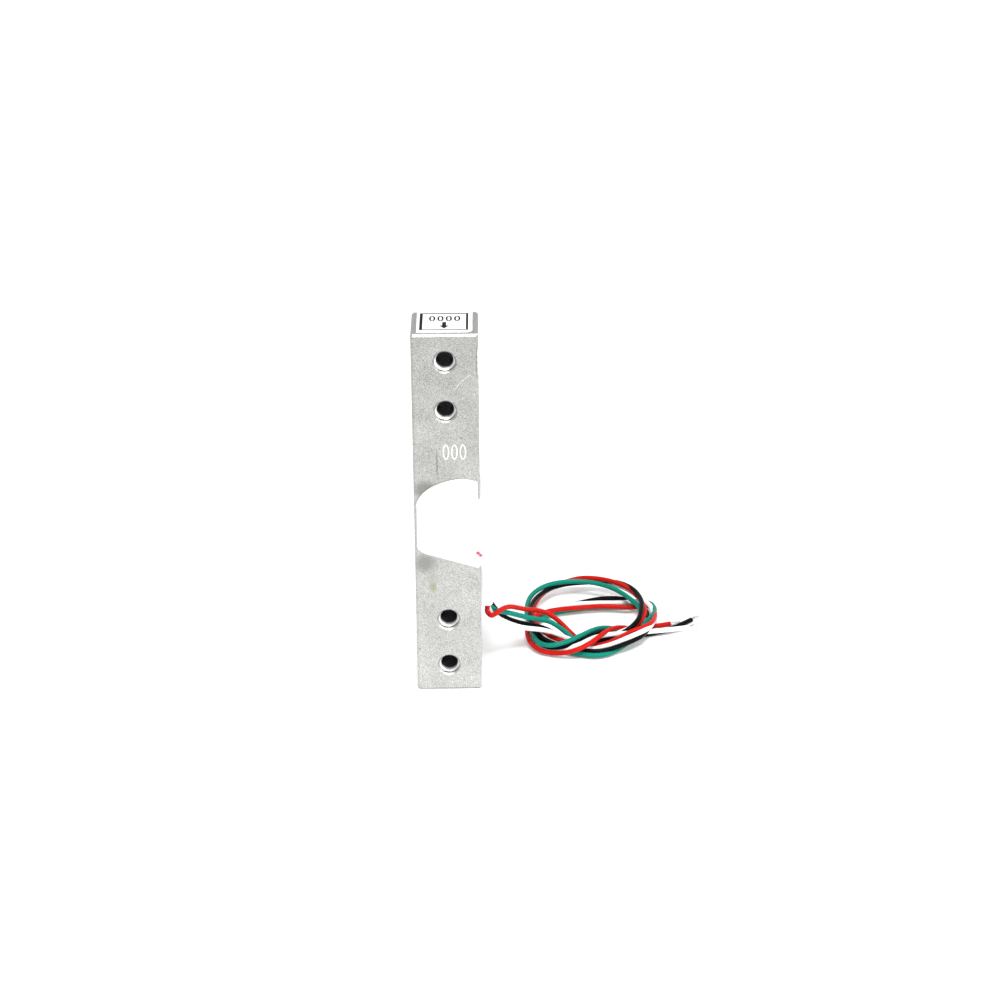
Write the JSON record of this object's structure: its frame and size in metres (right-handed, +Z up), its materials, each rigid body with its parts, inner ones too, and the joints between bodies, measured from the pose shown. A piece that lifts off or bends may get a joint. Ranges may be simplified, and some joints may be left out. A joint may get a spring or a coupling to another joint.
{
  "type": "single point load cell",
  "caption": "Square aluminium load cell bar with a binocular cut-out, tapped end holes, silicone over its strain gauges and thin leads in a loose coil.",
  "frame": {"origin": "middle of the lower end face of the bar, on the surface that it stands on", "axes": "+Z up along the bar, the front face with the tapped holes looks to -Y, +X is to the right, on the side where the leads come down"},
  "size_m": [0.0586, 0.0461, 0.0751],
  "materials": {
    "aluminium": "fine blasted",
    "silicone": "smooth gloss",
    "label_paper": "satin",
    "gauge_film": "smooth film",
    "solder_board": "smooth",
    "solder": "bright",
    "enamelled_wire": "enamelled",
    "red_wire": "gloss",
    "white_wire": "gloss",
    "green_wire": "gloss",
    "black_wire": "gloss",
    "tinned_copper": "stranded"
  },
  "bodies": {
    "root": {"back_jumpers": "enamelled_wire", "back_lower_gauge": "gauge_film", "back_solder_joints": "solder", "back_terminal_pad": "solder_board", "back_upper_gauge": "gauge_film", "beam": "aluminium", "black_core": "tinned_copper", "black_lead": "black_wire", "black_root": "black_wire", "black_tail": "black_wire", "cross_links": "enamelled_wire", "front_jumpers": "enamelled_wire", "front_lower_gauge": "gauge_film", "front_solder_joints": "solder", "front_terminal_pad": "solder_board", "front_upper_gauge": "gauge_film", "green_core": "tinned_copper", "green_lead": "green_wire", "green_root": "green_wire", "green_tail": "green_wire", "rating_label": "label_paper", "red_core": "tinned_copper", "red_lead": "red_wire", "red_root": "red_wire", "red_tail": "red_wire", "sealant": "silicone", "white_core": "tinned_copper", "white_lead": "white_wire", "white_root": "white_wire", "white_tail": "white_wire", "wire_coil": "black_wire"}
  },
  "joints": []
}
